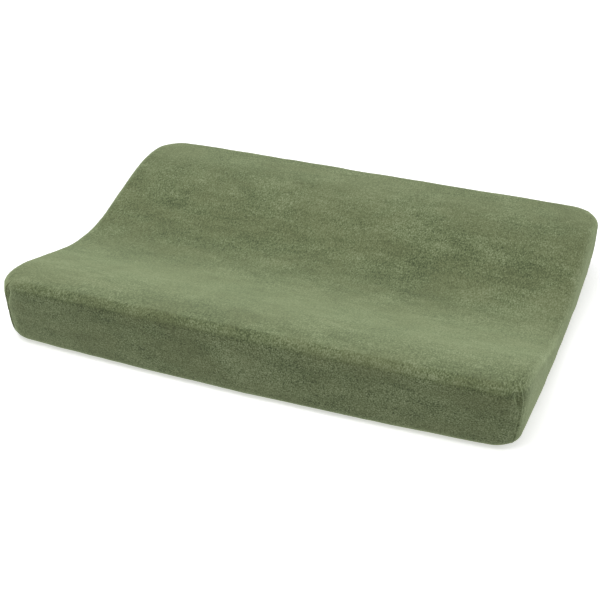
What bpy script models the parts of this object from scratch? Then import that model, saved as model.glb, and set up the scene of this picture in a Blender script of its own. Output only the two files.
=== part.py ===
"""Contoured changing pad: a foam cushion in a zipped wipe-clean ticking, under a fitted velour cover.

Units are metres. +X is the long side, +Y goes to the back, +Z is up, and the origin is the centre of
the footprint on the surface that the pad lies on. The cushion's section is the same all along X: two
raised long sides with a smooth valley between them, so that a baby can't roll off.
"""
import math

import bmesh
import bpy
from mathutils import Matrix

# ---- driving dimensions -------------------------------------------------------------------------
LENGTH = 0.700
WIDTH = 0.500
SIDE_HEIGHT = 0.096         # top of the raised long sides, over the cover
VALLEY_HEIGHT = 0.053       # lowest line of the valley, over the cover
VALLEY_Y = -0.014           # the valley lies a little nearer to the front
FRONT_FLAT = 0.038          # width of the level strip along each raised side
REAR_FLAT = 0.052
EDGE_ROUND = 0.018          # rounding of every outer edge
COVER_CORNER = 0.024        # upright corner radius of the cover
PAD_CORNER = 0.0365         # the same radius on the cushion, before its inset

GAP = 0.0003                # clearance between pieces that touch
COVER_THICK = 0.0022
TICKING_THICK = 0.0010
TICKING_INSET = COVER_THICK + GAP
FOAM_INSET = TICKING_INSET + TICKING_THICK + GAP
FLAP_BOTTOM = 0.0008        # underside of the cover's turned-in flap
SHELL_BOTTOM = 0.022        # the cover's upright sides end here, and its bottom roll begins

# the opening under the cover, and the elastic hem around it
OPENING_X = 0.280
OPENING_Y = 0.180
OPENING_RADIUS = 0.060
HEM_WIDTH = 0.012
HEM_HEIGHT = 0.0030
HEM_WALL = 0.0008
ELASTIC_WIDTH = 0.008
ELASTIC_THICK = 0.0008

# the base of the cushion, which stands through that opening
BASE_MARGIN = 0.0015        # between the hem's edge and the base
BASE_ROOT = 0.012           # how far up the base reaches into the cushion
CHANNEL_HALF_WIDTH = 0.022  # the channel that holds the zip
CHANNEL_HALF_LENGTH = 0.286
CHANNEL_DEPTH = 0.0053

# panels of the ticking
END_PANEL_DEPTH = 0.012     # how far the two end panels reach over the top
BASE_PANEL_TOP = 0.0080     # the base panels meet the wrap at this height

# the zip, whose chain runs along X at Y = 0
SLOT_HALF_WIDTH = 0.0060    # the slot between the base panels that shows the zip
SLOT_HALF_LENGTH = 0.2578
TAPE_INNER = 0.0016
TAPE_OUTER = 0.0160
TAPE_THICK = 0.0006
TAPE_HALF_LENGTH = 0.262
COIL_INNER = 0.0008
COIL_OUTER = 0.0034
COIL_HEIGHT = 0.0019
COIL_HALF_LENGTH = 0.252
STOP_LENGTH = 0.004
SLIDER_LENGTH = 0.011
SLIDER_WIDTH = 0.0092
SLIDER_PLATE = 0.0009
PLATE_CORNER = 0.002
WEDGE_WIDTH = 0.0010
SLIDER_START = 0.245        # the slider's place when the zip is closed
FLANGE_WIDTH = 0.0008
BRIDGE_LENGTH = 0.0064
BRIDGE_WIDTH = 0.0018
BRIDGE_BAR = 0.0008
BRIDGE_ROOM = 0.0013
PULL_LENGTH = 0.024
PULL_WIDTH = 0.0060
PULL_THICK = 0.0008

# levels of the zip's layers, from the ticking's edge strips down to the pull
STRIP_TOP = CHANNEL_DEPTH + TICKING_THICK
TAPE_BOTTOM = STRIP_TOP + GAP
TAPE_TOP = TAPE_BOTTOM + TAPE_THICK
COIL_TOP = TAPE_BOTTOM - GAP
COIL_BOTTOM = COIL_TOP - COIL_HEIGHT
UPPER_PLATE_BOTTOM = TAPE_TOP + GAP
ZIP_TOP = UPPER_PLATE_BOTTOM + SLIDER_PLATE
LOWER_PLATE_TOP = COIL_BOTTOM - GAP
LOWER_PLATE_BOTTOM = LOWER_PLATE_TOP - SLIDER_PLATE
BRIDGE_TOP = LOWER_PLATE_BOTTOM - BRIDGE_ROOM
BRIDGE_BOTTOM = BRIDGE_TOP - BRIDGE_BAR
PULL_AXIS_Z = LOWER_PLATE_BOTTOM - BRIDGE_ROOM / 2

# small sewn pieces of the cover
SEAM_ALLOWANCE = 0.0060
SEAM_THICK = 0.0016
SEAM_SAGITTA = 0.0003       # the strip is flat, in a round corner
SEAM_CLEAR = 0.004          # from the ends of the upright corner
LABEL_X = 0.150
LABEL_WIDTH = 0.028
LABEL_LENGTH = 0.036
LABEL_THICK = 0.0003

WAVE_STEPS = 12             # facets on each slope of the valley
CORNER_STEPS = 6
ROUND_STEPS = 4
FAR = 0.6                   # past every side of the pad, for the boxes that keep one region

FRONT_FLAT_Y = -WIDTH / 2 + FRONT_FLAT
REAR_FLAT_Y = WIDTH / 2 - REAR_FLAT

GREEN = (0.165, 0.205, 0.105)
WHITE = (0.80, 0.80, 0.78)
FOAM = (0.85, 0.80, 0.62)
NICKEL = (0.55, 0.55, 0.53)


# ---- helpers ------------------------------------------------------------------------------------
def clear_scene():
    for thing in list(bpy.data.objects):
        bpy.data.objects.remove(thing, do_unlink=True)


def new_collection(name):
    collection = bpy.data.collections.new(name)
    bpy.context.scene.collection.children.link(collection)
    return collection


def material(name, colour, roughness, metallic=0.0):
    mat = bpy.data.materials.new(name)
    mat.use_nodes = True
    shader = mat.node_tree.nodes["Principled BSDF"]
    shader.inputs["Base Color"].default_value = (*colour, 1.0)
    shader.inputs["Roughness"].default_value = roughness
    shader.inputs["Metallic"].default_value = metallic
    mat.diffuse_color = (*colour, 1.0)
    return mat


def add_object(name, bm, collection, mat=None):
    mesh = bpy.data.meshes.new(name)
    bmesh.ops.recalc_face_normals(bm, faces=bm.faces)
    bm.to_mesh(mesh)
    bm.free()
    thing = bpy.data.objects.new(name, mesh)
    collection.objects.link(thing)
    if mat:
        mesh.materials.append(mat)
    if collection is cutters:
        thing.hide_render = True
        thing.display_type = "WIRE"
    return thing


def block(low, high, radius=0.0, steps=CORNER_STEPS):
    """A box between two corners, as a bmesh, with its upright edges rounded."""
    bm = bmesh.new()
    bmesh.ops.create_cube(bm, size=1.0)
    for vert in bm.verts:
        for axis in range(3):
            vert.co[axis] = high[axis] if vert.co[axis] > 0 else low[axis]
    if radius > 0:
        upright = [e for e in bm.edges if abs(e.verts[0].co.z - e.verts[1].co.z) > 1e-6]
        bmesh.ops.bevel(bm, geom=upright, offset=radius, segments=steps, profile=0.5, affect="EDGES")
    return bm


def plate(name, half_x, half_y, bottom, top, radius, collection, mat=None):
    """A level plate centred on the origin."""
    bm = block((-half_x, -half_y, bottom), (half_x, half_y, top), radius)
    return add_object(name, bm, collection, mat)


def box(name, low, high, collection, mat=None, radius=0.0):
    return add_object(name, block(low, high, radius, 3), collection, mat)


def boolean(thing, operation, other):
    modifier = thing.modifiers.new(f"{operation.lower()}_{other.name}", "BOOLEAN")
    modifier.operation = operation
    modifier.solver = "EXACT"
    modifier.object = other


def round_edges(thing, width, segments=ROUND_STEPS, limit=math.radians(50)):
    modifier = thing.modifiers.new("round", "BEVEL")
    modifier.width = width
    modifier.segments = segments
    modifier.limit_method = "ANGLE"
    modifier.angle_limit = limit


def smooth(thing):
    thing.data.shade_smooth()
    thing.data.set_sharp_from_angle(angle=math.radians(35))


# ---- the cushion's shape ------------------------------------------------------------------------
def slope_end(side):
    """Where the valley's slope meets the level strip, in front (side -1) or at the back (side 1)."""
    return REAR_FLAT_Y if side > 0 else FRONT_FLAT_Y


def top_height(y):
    """Height of the cover's top at a place across the pad."""
    end = slope_end(1 if y > VALLEY_Y else -1)
    across = min((y - VALLEY_Y) / (end - VALLEY_Y), 1.0)
    return VALLEY_HEIGHT + (SIDE_HEIGHT - VALLEY_HEIGHT) * (1 - math.cos(math.pi * across)) / 2


def wave_points(inset):
    """The top line from front to back, moved inwards square to itself."""
    places = [VALLEY_Y]
    for step in range(1, WAVE_STEPS + 1):
        share = step / WAVE_STEPS
        places.insert(0, VALLEY_Y + share * (slope_end(-1) - VALLEY_Y))
        places.append(VALLEY_Y + share * (slope_end(1) - VALLEY_Y))
    points = []
    tiny = 1e-4
    for y in places:
        rise = (top_height(y + tiny) - top_height(y - tiny)) / (2 * tiny)
        length = math.hypot(1.0, rise)
        points.append((y + inset * rise / length, top_height(y) - inset / length))
    return points


def wave_block(name, inset):
    """A block longer, wider and deeper than the pad, with the pad's own top."""
    beyond = 0.05
    floor = -0.05
    flat_edge = WIDTH / 2 + beyond
    line = wave_points(inset)
    side_top = line[0][1]
    outline = [(-flat_edge, floor), (-flat_edge, side_top), *line, (flat_edge, side_top), (flat_edge, floor)]
    curve = bpy.data.curves.new(name, "CURVE")
    curve.dimensions = "2D"
    curve.fill_mode = "BOTH"
    curve.extrude = LENGTH / 2 + beyond
    spline = curve.splines.new("POLY")
    spline.points.add(len(outline) - 1)
    for point, (y, z) in zip(spline.points, outline):
        point.co = (y, z, 0.0, 1.0)
    spline.use_cyclic_u = True
    thing = bpy.data.objects.new(name, curve)
    # the curve's own plane stands across X, with its first axis along Y
    thing.rotation_euler = (math.pi / 2, 0.0, math.pi / 2)
    cutters.objects.link(thing)
    return mesh_from_curve(thing)


def mesh_from_curve(thing):
    """Turn a curve object into a closed mesh object at the same place."""
    bpy.context.view_layer.update()
    evaluated = thing.evaluated_get(bpy.context.evaluated_depsgraph_get())
    mesh = bpy.data.meshes.new_from_object(evaluated)
    mesh.transform(thing.matrix_world)
    bm = bmesh.new()
    bm.from_mesh(mesh)
    bmesh.ops.remove_doubles(bm, verts=bm.verts, dist=1e-6)
    name = thing.name
    bpy.data.objects.remove(thing, do_unlink=True)
    return add_object(f"{name}_mesh", bm, cutters)


def cushion(name, inset, corner, collection, mat=None):
    """The whole cushion's shape, moved inwards by an inset: the skins and the foam are made from it."""
    half_x = LENGTH / 2 - inset
    half_y = WIDTH / 2 - inset
    thing = plate(name, half_x, half_y, FLAP_BOTTOM + inset, 0.2, corner - inset, collection, mat)
    boolean(thing, "INTERSECT", wave_block(f"{name}_wave", inset))
    round_edges(thing, EDGE_ROUND - inset)
    return thing


def cushion_with_base(name, inset, collection, mat=None):
    """The cushion with a base that stands through the opening, and the channel that holds the zip."""
    thing = cushion(name, inset, PAD_CORNER, collection, mat)
    drop = inset - TICKING_INSET
    shrink = BASE_MARGIN + drop
    base = plate(f"{name}_base", OPENING_X - shrink, OPENING_Y - shrink, drop, BASE_ROOT,
                 OPENING_RADIUS - shrink, cutters)
    boolean(thing, "UNION", base)
    half_x = CHANNEL_HALF_LENGTH + drop
    half_y = CHANNEL_HALF_WIDTH + drop
    ceiling = CHANNEL_DEPTH + drop
    channel = box(f"{name}_channel", (-half_x, -half_y, -0.01), (half_x, half_y, ceiling), cutters)
    boolean(thing, "DIFFERENCE", channel)
    return thing


# ---- foam ---------------------------------------------------------------------------------------
def make_foam():
    mat = material("foam", FOAM, 0.9)
    foam = cushion_with_base("foam_core", FOAM_INSET, parts, mat)
    relief_x = TAPE_HALF_LENGTH + 0.002
    relief_y = TAPE_OUTER + 0.0015
    relief = box("foam_relief", (-relief_x, -relief_y, 0.0), (relief_x, relief_y, ZIP_TOP + GAP), cutters)
    boolean(foam, "DIFFERENCE", relief)
    smooth(foam)


# ---- ticking ------------------------------------------------------------------------------------
def make_ticking():
    """A wrap over the top and long sides, two end panels, and two base panels that the zip joins."""
    panel_x = LENGTH / 2 - END_PANEL_DEPTH
    middle = GAP / 2
    base_top = BASE_PANEL_TOP - GAP
    keep = {
        "ticking_wrap": ((-panel_x, -FAR, BASE_PANEL_TOP), (panel_x, FAR, FAR)),
        "ticking_end_left": ((-FAR, -FAR, -FAR), (-panel_x - GAP, FAR, FAR)),
        "ticking_end_right": ((panel_x + GAP, -FAR, -FAR), (FAR, FAR, FAR)),
        "ticking_base_front": ((-panel_x, -FAR, -FAR), (panel_x, -middle, base_top)),
        "ticking_base_rear": ((-panel_x, middle, -FAR), (panel_x, FAR, base_top)),
    }
    inside = cushion_with_base("ticking_inside", TICKING_INSET + TICKING_THICK, cutters)
    slot = plate("zip_slot", SLOT_HALF_LENGTH, SLOT_HALF_WIDTH, -0.01, STRIP_TOP + 0.01, 0.0, cutters)
    for name, (low, high) in keep.items():
        panel = cushion_with_base(name, TICKING_INSET, parts, material(name, WHITE, 0.45))
        boolean(panel, "DIFFERENCE", inside)
        boolean(panel, "INTERSECT", box(f"{name}_keep", low, high, cutters))
        if "base" in name:
            boolean(panel, "DIFFERENCE", slot)
        smooth(panel)


# ---- zip ----------------------------------------------------------------------------------------
def make_zip_chain():
    for side, word in ((-1, "front"), (1, "rear")):
        low_y, high_y = sorted((side * TAPE_INNER, side * TAPE_OUTER))
        tape_mat = material(f"zip_tape_{word}", WHITE, 0.8)
        box(f"zip_tape_{word}", (-TAPE_HALF_LENGTH, low_y, TAPE_BOTTOM), (TAPE_HALF_LENGTH, high_y, TAPE_TOP),
            parts, tape_mat)
        low_y, high_y = sorted((side * COIL_INNER, side * COIL_OUTER))
        coil = box(f"zip_coil_{word}", (-COIL_HALF_LENGTH, low_y, COIL_BOTTOM),
                   (COIL_HALF_LENGTH, high_y, COIL_TOP), parts, material(f"zip_coil_{word}", WHITE, 0.35))
        round_edges(coil, 0.0004, 2)
        stop_start = COIL_HALF_LENGTH + GAP
        stop_mat = material(f"zip_top_stop_{word}", NICKEL, 0.3, 1.0)
        stop = box(f"zip_top_stop_{word}", (stop_start, low_y, COIL_BOTTOM),
                   (stop_start + STOP_LENGTH, high_y, COIL_TOP), parts, stop_mat)
        round_edges(stop, 0.0004, 2)
    bottom_start = -COIL_HALF_LENGTH - GAP
    bottom_mat = material("zip_bottom_stop", NICKEL, 0.3, 1.0)
    bottom_stop = box("zip_bottom_stop", (bottom_start - STOP_LENGTH, -COIL_OUTER, COIL_BOTTOM),
                      (bottom_start, COIL_OUTER, COIL_TOP), parts, bottom_mat)
    round_edges(bottom_stop, 0.0004, 2)


def make_slider():
    """Two plates joined by a wedge between the coils, side flanges, and a bridge for the pull."""
    mat = material("zip_slider", NICKEL, 0.3, 1.0)
    half_x = SLIDER_LENGTH / 2
    half_y = SLIDER_WIDTH / 2
    x = SLIDER_START
    slider = box("zip_slider", (x - half_x, -half_y, LOWER_PLATE_BOTTOM),
                 (x + half_x, half_y, LOWER_PLATE_TOP), parts, mat, radius=PLATE_CORNER)
    upper = box("slider_upper", (x - half_x, -half_y, UPPER_PLATE_BOTTOM),
                (x + half_x, half_y, ZIP_TOP), cutters, radius=PLATE_CORNER)
    wedge = box("slider_wedge", (x + half_x - 0.004, -WEDGE_WIDTH / 2, LOWER_PLATE_TOP - SLIDER_PLATE / 2),
                (x + half_x - 0.001, WEDGE_WIDTH / 2, UPPER_PLATE_BOTTOM + SLIDER_PLATE / 2), cutters)
    boolean(slider, "UNION", wedge)
    boolean(slider, "UNION", upper)
    for side in (-1, 1):
        low_y, high_y = sorted((side * half_y, side * (half_y - FLANGE_WIDTH)))
        flange = box(f"slider_flange_{side + 1}", (x - half_x + 0.0015, low_y, LOWER_PLATE_BOTTOM + 0.0003),
                     (x + half_x - 0.003, high_y, COIL_TOP), cutters)
        boolean(slider, "UNION", flange)
    bridge = box("slider_bridge", (x - BRIDGE_LENGTH / 2, -BRIDGE_WIDTH / 2, BRIDGE_BOTTOM),
                 (x + BRIDGE_LENGTH / 2, BRIDGE_WIDTH / 2, LOWER_PLATE_BOTTOM + SLIDER_PLATE / 2), cutters)
    room = box("slider_bridge_room", (x - BRIDGE_LENGTH / 2 + 0.001, -0.01, BRIDGE_TOP),
               (x + BRIDGE_LENGTH / 2 - 0.001, 0.01, LOWER_PLATE_BOTTOM), cutters)
    boolean(bridge, "DIFFERENCE", room)
    boolean(slider, "UNION", bridge)
    smooth(slider)


def make_pull():
    """A flat tab with an eye, whose cross bar turns in the slider's bridge."""
    x = SLIDER_START
    z = PULL_AXIS_Z
    half_y = PULL_WIDTH / 2
    bar = PULL_THICK / 2
    low = (x - PULL_LENGTH, -half_y, z - bar)
    high = (x + bar, half_y, z + bar)
    pull = box("zip_pull_tab", low, high, parts, material("zip_pull_tab", NICKEL, 0.3, 1.0), radius=0.0007)
    eye_length = BRIDGE_LENGTH / 2 + 0.0012
    eye_half = BRIDGE_WIDTH / 2 + 0.0005
    eye = box("pull_eye", (x - bar - eye_length, -eye_half, z - 0.01), (x - bar, eye_half, z + 0.01), cutters)
    boolean(pull, "DIFFERENCE", eye)
    # the tab turns about its cross bar, so its origin is there
    pull.data.transform(Matrix.Translation((-x, 0.0, -z)))
    pull.location = (x, 0.0, z)
    smooth(pull)


# ---- cover --------------------------------------------------------------------------------------
def make_cover():
    inside = cushion("cover_inside", COVER_THICK, COVER_CORNER, cutters)
    shell = cushion("cover_shell", 0.0, COVER_CORNER, parts, material("cover_shell", GREEN, 0.85))
    boolean(shell, "DIFFERENCE", inside)
    shell_keep = box("shell_keep", (-FAR, -FAR, SHELL_BOTTOM), (FAR, FAR, FAR), cutters)
    boolean(shell, "INTERSECT", shell_keep)
    smooth(shell)

    skirt = cushion("cover_skirt", 0.0, COVER_CORNER, parts, material("cover_skirt", GREEN, 0.85))
    boolean(skirt, "DIFFERENCE", inside)
    skirt_keep = box("skirt_keep", (-FAR, -FAR, -FAR), (FAR, FAR, SHELL_BOTTOM - GAP), cutters)
    boolean(skirt, "INTERSECT", skirt_keep)
    edge = HEM_WIDTH + GAP
    opening = plate("skirt_opening", OPENING_X + edge, OPENING_Y + edge, -0.01, 0.01,
                    OPENING_RADIUS + edge, cutters)
    boolean(skirt, "DIFFERENCE", opening)
    smooth(skirt)


def hem_ring(name, inner, outer, bottom, top, collection, mat=None):
    """A level ring around the opening, between two distances from the opening's edge."""
    ring = plate(name, OPENING_X + outer, OPENING_Y + outer, bottom, top,
                 OPENING_RADIUS + outer, collection, mat)
    hole = plate(f"{name}_hole", OPENING_X + inner, OPENING_Y + inner, bottom - 0.01, top + 0.01,
                 OPENING_RADIUS + inner, cutters)
    boolean(ring, "DIFFERENCE", hole)
    return ring


def make_hem():
    """The casing is open along its outer side, where its folded edge is stitched to the flap."""
    casing_mat = material("hem_casing", GREEN, 0.85)
    casing = hem_ring("hem_casing", 0.0, HEM_WIDTH, 0.0, HEM_HEIGHT, parts, casing_mat)
    channel = hem_ring("hem_channel", HEM_WALL, HEM_WIDTH + 0.002, HEM_WALL, HEM_HEIGHT - HEM_WALL, cutters)
    boolean(casing, "DIFFERENCE", channel)
    elastic_bottom = (HEM_HEIGHT - ELASTIC_THICK) / 2
    start = HEM_WALL + 2 * GAP
    hem_ring("hem_elastic", start, start + ELASTIC_WIDTH, elastic_bottom, elastic_bottom + ELASTIC_THICK,
             parts, material("hem_elastic", WHITE, 0.8))


def make_corner_seams():
    """The overlocked seam allowance of each dart stands in the space behind its corner."""
    low_z = SHELL_BOTTOM + SEAM_CLEAR
    high_z = SIDE_HEIGHT - EDGE_ROUND - SEAM_CLEAR
    centre_x = LENGTH / 2 - COVER_CORNER
    centre_y = WIDTH / 2 - COVER_CORNER
    reach = COVER_CORNER - COVER_THICK - GAP - SEAM_SAGITTA
    names = {(-1, -1): "front_left", (1, -1): "front_right", (1, 1): "rear_right", (-1, 1): "rear_left"}
    for (side_x, side_y), word in names.items():
        name = f"corner_seam_{word}"
        half = SEAM_ALLOWANCE / 2
        strip = box(name, (-SEAM_THICK, -half, low_z), (0.0, half, high_z), parts, material(name, GREEN, 0.85))
        round_edges(strip, 0.0003, 1)
        angle = math.atan2(side_y, side_x)
        strip.rotation_euler = (0.0, 0.0, angle)
        strip.location.x = side_x * centre_x + reach * math.cos(angle)
        strip.location.y = side_y * centre_y + reach * math.sin(angle)


def make_label():
    """A blank care label, sewn in where the hem meets the flap, and lying under the flap."""
    top = FLAP_BOTTOM - GAP
    start_y = OPENING_Y + HEM_WIDTH + GAP
    low = (LABEL_X - LABEL_WIDTH / 2, start_y, top - LABEL_THICK)
    high = (LABEL_X + LABEL_WIDTH / 2, start_y + LABEL_LENGTH, top)
    box("care_label", low, high, parts, material("care_label", WHITE, 0.7))


clear_scene()
parts = new_collection("changing_pad")
cutters = new_collection("cutters")
make_foam()
make_ticking()
make_zip_chain()
make_slider()
make_pull()
make_cover()
make_hem()
make_corner_seams()
make_label()
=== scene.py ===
"""Looks of the contoured changing pad: a fitted velour cover over a zipped, wipe-clean foam cushion.

Metres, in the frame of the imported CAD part: +X along the long side, +Y to the back, +Z up. The cover, the
ticking and the foam are one family of nested skins, which share a grid of points and differ by their inset.
"""

import math

import bmesh
import bpy
import numpy as np
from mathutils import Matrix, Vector, noise


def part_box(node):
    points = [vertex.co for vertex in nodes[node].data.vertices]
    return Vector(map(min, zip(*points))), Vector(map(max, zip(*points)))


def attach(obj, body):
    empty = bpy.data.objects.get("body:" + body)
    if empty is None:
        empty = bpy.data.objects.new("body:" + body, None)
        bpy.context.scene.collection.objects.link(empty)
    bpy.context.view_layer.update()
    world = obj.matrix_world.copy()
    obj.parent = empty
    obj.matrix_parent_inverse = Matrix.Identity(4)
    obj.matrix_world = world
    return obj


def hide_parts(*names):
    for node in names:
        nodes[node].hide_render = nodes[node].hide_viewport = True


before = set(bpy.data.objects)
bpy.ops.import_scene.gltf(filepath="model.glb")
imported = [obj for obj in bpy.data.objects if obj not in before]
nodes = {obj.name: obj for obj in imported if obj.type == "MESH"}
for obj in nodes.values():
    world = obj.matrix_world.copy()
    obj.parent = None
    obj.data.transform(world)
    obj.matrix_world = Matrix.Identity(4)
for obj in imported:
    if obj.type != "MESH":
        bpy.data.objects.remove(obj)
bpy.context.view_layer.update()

MM = 0.001

# ---- the cushion's shape, over the cover ----
HALF_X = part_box("cover_shell")[1].x
HALF_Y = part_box("cover_shell")[1].y
SIDE_TOP = 0.098            # the raised long sides
VALLEY_TOP = 0.054          # the lowest line of the valley
VALLEY_Y = -0.0147
FRONT_CREST_Y = -0.2492     # the slope begins right behind the front edge
REAR_CREST_Y = 0.1968
EDGE = 13.2 * MM            # rounding along the top edges
TOP_CORNER = 41.5 * MM      # upright corner radius, at the top and at the bottom of the sides
BOTTOM_CORNER = 27.3 * MM
END_UNDERCUT = 5.8 * MM     # how far the elastic draws the bottom of the sides in
SIDE_UNDERCUT = 14.9 * MM
BOTTOM_BOW = 9.9 * MM       # how much less it does so in the middle of each side
TOP_BOW = 0.9 * MM
BOTTOM_ROUND = 14.3 * MM
WALL_BULGE = 1.0 * MM

DART_SHIFT = 8.1 * MM       # the cover sits a little turned, so its darts aren't quite at the corners
DART_LEAN = 4.5 * MM        # and their feet less so

# ---- the grid of points ----
FINE_STEP = 0.9 * MM
STEP_GROWTH = 1.11
EDGE_ROWS = 9
WALL_ROWS = 17
BOTTOM_ROWS = 6
CORNER_SOFTENING = 6.0 * MM
SOFT_X = 34 * MM
SOFT_Y = 44 * MM
SOFT_ROWS = 4

COVER_THICK = 1.9 * MM
TICKING_INSET = 3.7 * MM
TICKING_THICK = 0.8 * MM
FOAM_INSET = 5.3 * MM

# the opening under the cover, from its CAD hem
HEM_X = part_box("hem_casing")[1].x
HEM_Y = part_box("hem_casing")[1].y
HEM_CORNER = 72 * MM
HEM_WIDTH = 12 * MM


def profile(y):
    """Height of the cover's top across the pad."""
    def ease(share):
        return (1 - np.cos(np.pi * np.clip(share, 0, 1))) / 2
    drop = SIDE_TOP - VALLEY_TOP
    front = SIDE_TOP - drop * ease((y - FRONT_CREST_Y) / (VALLEY_Y - FRONT_CREST_Y))
    rear = VALLEY_TOP + drop * ease((y - VALLEY_Y) / (REAR_CREST_Y - VALLEY_Y))
    return np.where(y < VALLEY_Y, front, rear)


def profile_slope(y):
    tiny = 0.5 * MM
    return (profile(y + tiny) - profile(y - tiny)) / (2 * tiny)


def graded_lines(half, fine, coarse, growth):
    """Places from -half to half, close together at both ends, with one in the middle."""
    distances = [0.0]
    step = fine
    while distances[-1] < half:
        distances.append(distances[-1] + step)
        if distances[-1] > DART_SHIFT:
            step = min(step * growth, coarse)
    inner = np.array(distances) / distances[-1] * half - half
    return np.concatenate([inner, -inner[-2::-1]])


class Plan:
    """The grid seen from above. Its border nodes are the columns of the sides, in order round the pad."""

    def __init__(self, fine, coarse, growth):
        self.half = (HALF_X - EDGE, HALF_Y - EDGE)
        self.corner = TOP_CORNER - EDGE / 2
        self.xs = graded_lines(self.half[0], fine, coarse, growth)
        self.ys = graded_lines(self.half[1], fine, coarse * 0.9, growth)
        nx, ny = len(self.xs), len(self.ys)
        self.count = (nx, ny)
        grid = np.stack(np.meshgrid(self.xs, self.ys, indexing="ij"), -1).reshape(-1, 2)
        flat = np.array(self.half) - self.corner
        self.share = np.clip(grid / flat, -1, 1)
        over = np.clip((np.abs(grid) - flat) / self.corner, 0, 1)
        bend = over * np.sqrt(1 - over[:, ::-1] ** 2 / 2)
        self.arc = np.sign(grid) * bend
        index = np.arange(nx * ny).reshape(nx, ny)
        self.index = index
        self.border = np.concatenate([index[:, 0], index[-1, 1:], index[-2::-1, -1], index[0, -2:0:-1]])
        self.diagonals = [0, nx - 1, nx + ny - 2, 2 * nx + ny - 3]
        self.grid = grid

    def place(self, which, half_x, half_y, corner, bow_x=0.0, bow_y=0.0):
        """Points of a rounded rectangle, or inside one, for the given nodes of the grid."""
        half = np.array((half_x, half_y))
        q = self.share[which] * (half - corner) + self.arc[which] * corner
        s = q / half
        near = np.clip((np.abs(s) - np.array((0.8, 0.75))) / np.array((0.2, 0.25)), 0, 1)
        q[:, 0] += np.sign(s[:, 0]) * near[:, 0] * bow_x * (1 - s[:, 1] ** 2)
        q[:, 1] += np.sign(s[:, 1]) * near[:, 1] * bow_y * (1 - s[:, 0] ** 2)
        return q


class Skin:
    """A nested skin: the top grid, then rows of points down the sides and under the pad."""

    def __init__(self, plan, inset, corner_extra=0.0, floor=0.0):
        self.plan = plan
        self.inset = inset
        everything = np.arange(len(plan.grid))
        half_x, half_y = HALF_X - inset, HALF_Y - inset
        edge = EDGE - inset
        corner = TOP_CORNER + corner_extra - inset
        low_corner = BOTTOM_CORNER + corner_extra - inset

        def height(q):
            return profile(q[:, 1]) - inset * np.sqrt(1 + profile_slope(q[:, 1]) ** 2)

        top = plan.place(everything, half_x - edge, half_y - edge, corner - edge / 2, TOP_BOW, TOP_BOW)
        self.top = np.column_stack([top, height(top)])
        self.rows = []
        border = plan.border
        for k in range(1, EDGE_ROWS + 1):
            a = math.pi / 2 * (1 - k / EDGE_ROWS)
            gone = edge * (1 - math.cos(a))
            q = plan.place(border, half_x - gone, half_y - gone, corner - gone / 2, TOP_BOW, TOP_BOW)
            self.rows.append(np.column_stack([q, height(q) - edge * (1 - math.sin(a))]))
        wall_top = self.rows[-1]
        roll = BOTTOM_ROUND - inset

        def low_ring(a):
            gone = roll * (1 - math.sin(a))
            q = plan.place(border, half_x - END_UNDERCUT - gone, half_y - SIDE_UNDERCUT - gone,
                           low_corner, BOTTOM_BOW * 0.4, BOTTOM_BOW)
            return np.column_stack([q, np.full(len(q), floor + inset + roll * (1 - math.cos(a)))])

        wall_low = low_ring(math.pi / 2)
        for k in range(1, WALL_ROWS + 1):
            t = k / WALL_ROWS
            ring = wall_top + (wall_low - wall_top) * t
            ring[:, :2] += plan.arc[border] * WALL_BULGE * 4 * t * (1 - t)
            self.rows.append(ring)
        for k in range(1, BOTTOM_ROWS + 1):
            self.rows.append(low_ring(math.pi / 2 * (1 - k / BOTTOM_ROWS)))
        self.bottom_row = len(self.rows)

    def ring_to(self, half_x, half_y, corner, height, count):
        """Rows from the last ring to a level rounded rectangle."""
        start = self.rows[-1]
        q = self.plan.place(self.plan.border, half_x, half_y, corner)
        end = np.column_stack([q, np.full(len(q), height)])
        for k in range(1, count + 1):
            self.rows.append(start + (end - start) * (k / count))

    def points(self):
        return np.concatenate([self.top, *self.rows])

    def rounding(self):
        """How far each point lies further in, because the front top corners are rounder than the edges."""
        away = np.array((HALF_X, HALF_Y)) - np.abs(self.points()[:, :2])
        away[self.points()[:, 1] > 0] = 1.0
        moved = CORNER_SOFTENING * np.exp(-(away[:, 0] / SOFT_X) ** 2 - (away[:, 1] / SOFT_Y) ** 2)
        for row in range(1, len(self.rows) + 1):
            share = (row - EDGE_ROWS / 2) / (EDGE_ROWS / 2 + SOFT_ROWS)
            moved[self.column(row)] *= (1 + math.cos(math.pi * min(max(share, 0.0), 1.0))) / 2
        return moved

    def column(self, row):
        """Point numbers of a row: row 0 is the top grid's border."""
        if row == 0:
            return self.plan.border
        size = len(self.plan.border)
        return np.arange(size) + len(self.top) + (row - 1) * size

    def faces(self, with_top=True, first=0, last=None, columns=None):
        """Four-sided faces that point outwards, of the top and of the rows between two."""
        found = []
        if with_top:
            ids = self.plan.index
            corners = [ids[:-1, :-1], ids[1:, :-1], ids[1:, 1:], ids[:-1, 1:]]
            found.append(np.stack(corners, -1).reshape(-1, 4))
        last = len(self.rows) if last is None else last
        for row in range(first, last):
            quads = ring_faces(self.column(row), self.column(row + 1))
            found.append(quads if columns is None else quads[columns])
        return np.concatenate(found)


NORMAL_PASSES = 4
RELAX_PASSES = 30
RELAX_REACH = 8 * MM


def normals_of(points, faces):
    a, b, c, d = (points[faces[:, i]] for i in range(4))
    n = np.cross(c - a, d - b)
    for _ in range(NORMAL_PASSES):
        total = np.zeros_like(points)
        for i in range(4):
            np.add.at(total, faces[:, i], n)
        total /= np.maximum(np.linalg.norm(total, axis=1, keepdims=True), 1e-12)
        # the next pass evens out the directions at the thin faces in the grid's corners
        n = total[faces].mean(axis=1)
    return total


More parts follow.
